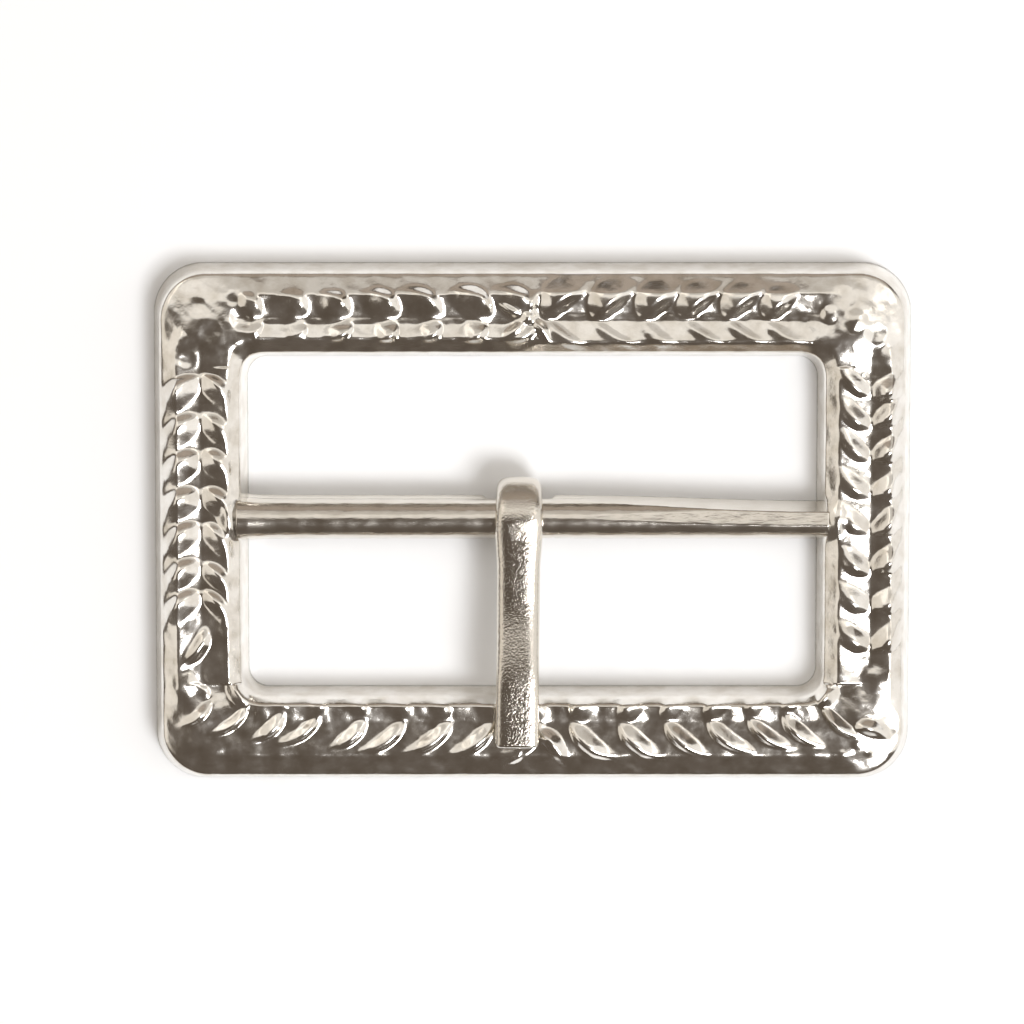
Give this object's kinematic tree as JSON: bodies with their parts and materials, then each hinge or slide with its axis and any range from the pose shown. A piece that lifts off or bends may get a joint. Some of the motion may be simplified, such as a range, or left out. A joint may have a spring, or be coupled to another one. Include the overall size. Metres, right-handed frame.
{
  "type": "belt buckle",
  "caption": "Rectangular cast metal belt buckle with a leaf-patterned border, a centre bar and a hinged tongue that rests on the bottom rail.",
  "frame": {"origin": "centre of the frame's flat back, which is the bottom centre of the whole buckle's box as it lies on its back", "axes": "+X along the bar, +Y across the bar towards the rail that the tongue does not rest on, +Z out of the decorated front"},
  "size_m": [0.0534, 0.0366, 0.0056],
  "materials": {
    "nickel_plate": "worn polished nickel plate on a zinc casting",
    "bar_metal": "nickel plate, polished along its length",
    "tongue_metal": "nickel plate with fine pits"
  },
  "bodies": {
    "buckle_frame": {"frame": "nickel_plate", "centre_bar": "bar_metal"},
    "tongue": {"tongue": "tongue_metal"}
  },
  "joints": [
    {"name": "tongue_hinge", "type": "hinge", "parent": "buckle_frame", "child": "tongue", "pos_m": [-0.00095, 0.00045, 0.0023], "axis": [-1, 0, 0], "range_deg": [0, 158]}
  ]
}
